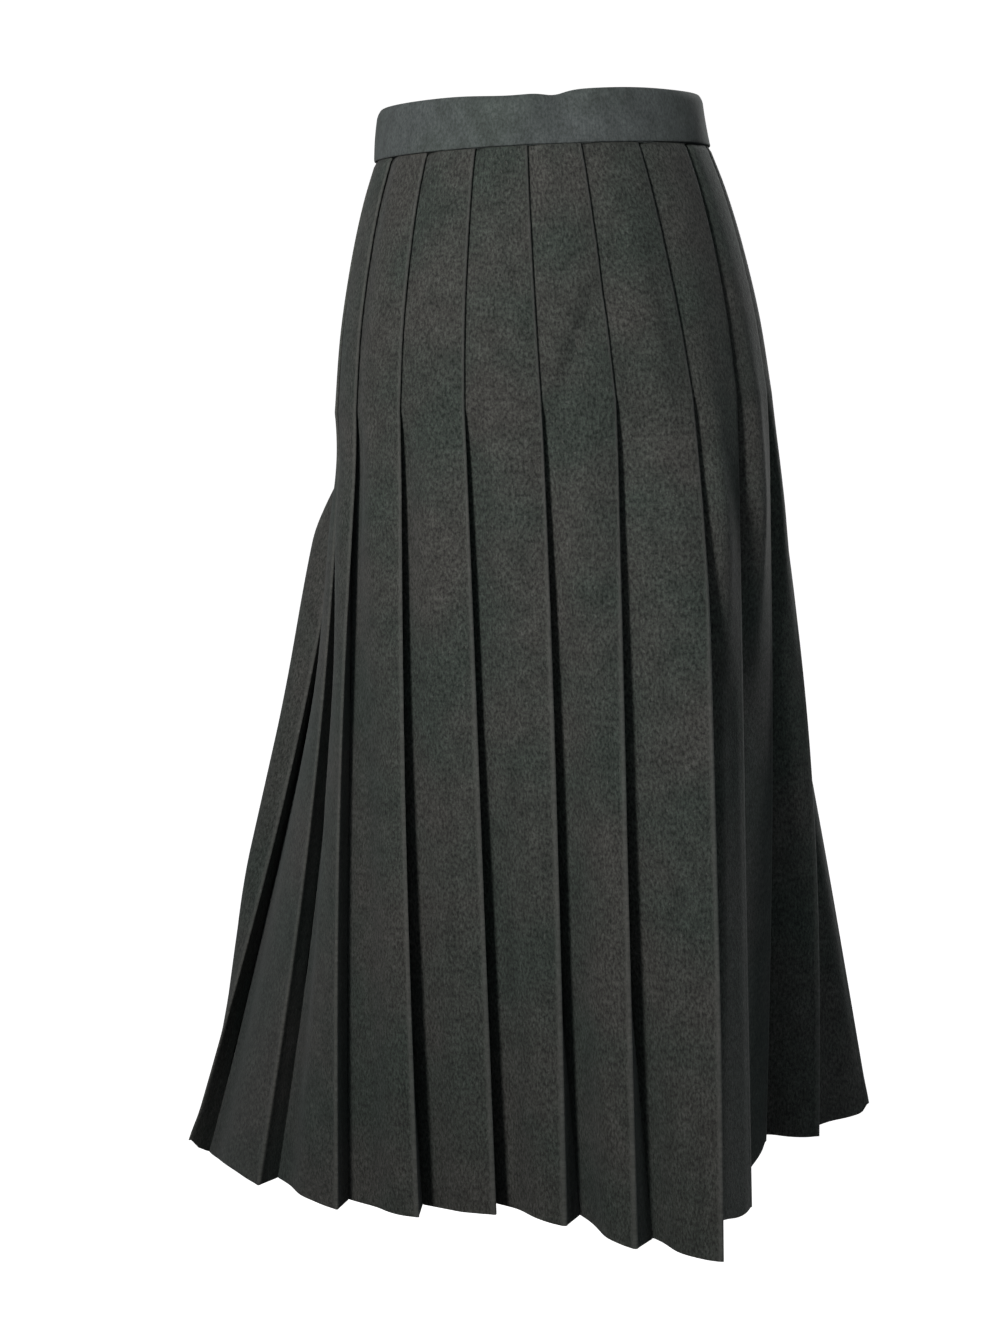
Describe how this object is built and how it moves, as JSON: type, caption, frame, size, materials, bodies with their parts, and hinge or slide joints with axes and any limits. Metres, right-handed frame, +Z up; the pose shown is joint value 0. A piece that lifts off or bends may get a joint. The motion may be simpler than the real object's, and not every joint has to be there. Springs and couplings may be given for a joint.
{
  "type": "pleated midi skirt",
  "caption": "Hollow worn-form wool midi skirt: plain waistband, knife pleats stitched flat to the hip and hanging free to the hem, one button at the side.",
  "frame": {"origin": "middle of the waist's top edge, where the wearer's waist holds the skirt up", "axes": "+Z up along the wearer, +X to the wearer's left, +Y to the wearer's back"},
  "size_m": [0.5201, 0.5359, 0.792],
  "materials": {
    "skirt_wool": "marled charcoal wool, matt, slightly brushed",
    "band_wool": "the same wool, pressed smooth and stiffened",
    "button_horn": "dark horn look, satin gloss"
  },
  "bodies": {
    "root": {"skirt_back_left": "skirt_wool", "skirt_back_right": "skirt_wool", "skirt_front_right": "skirt_wool", "skirt_front_left": "skirt_wool", "waistband": "band_wool", "button": "button_horn"}
  },
  "joints": []
}
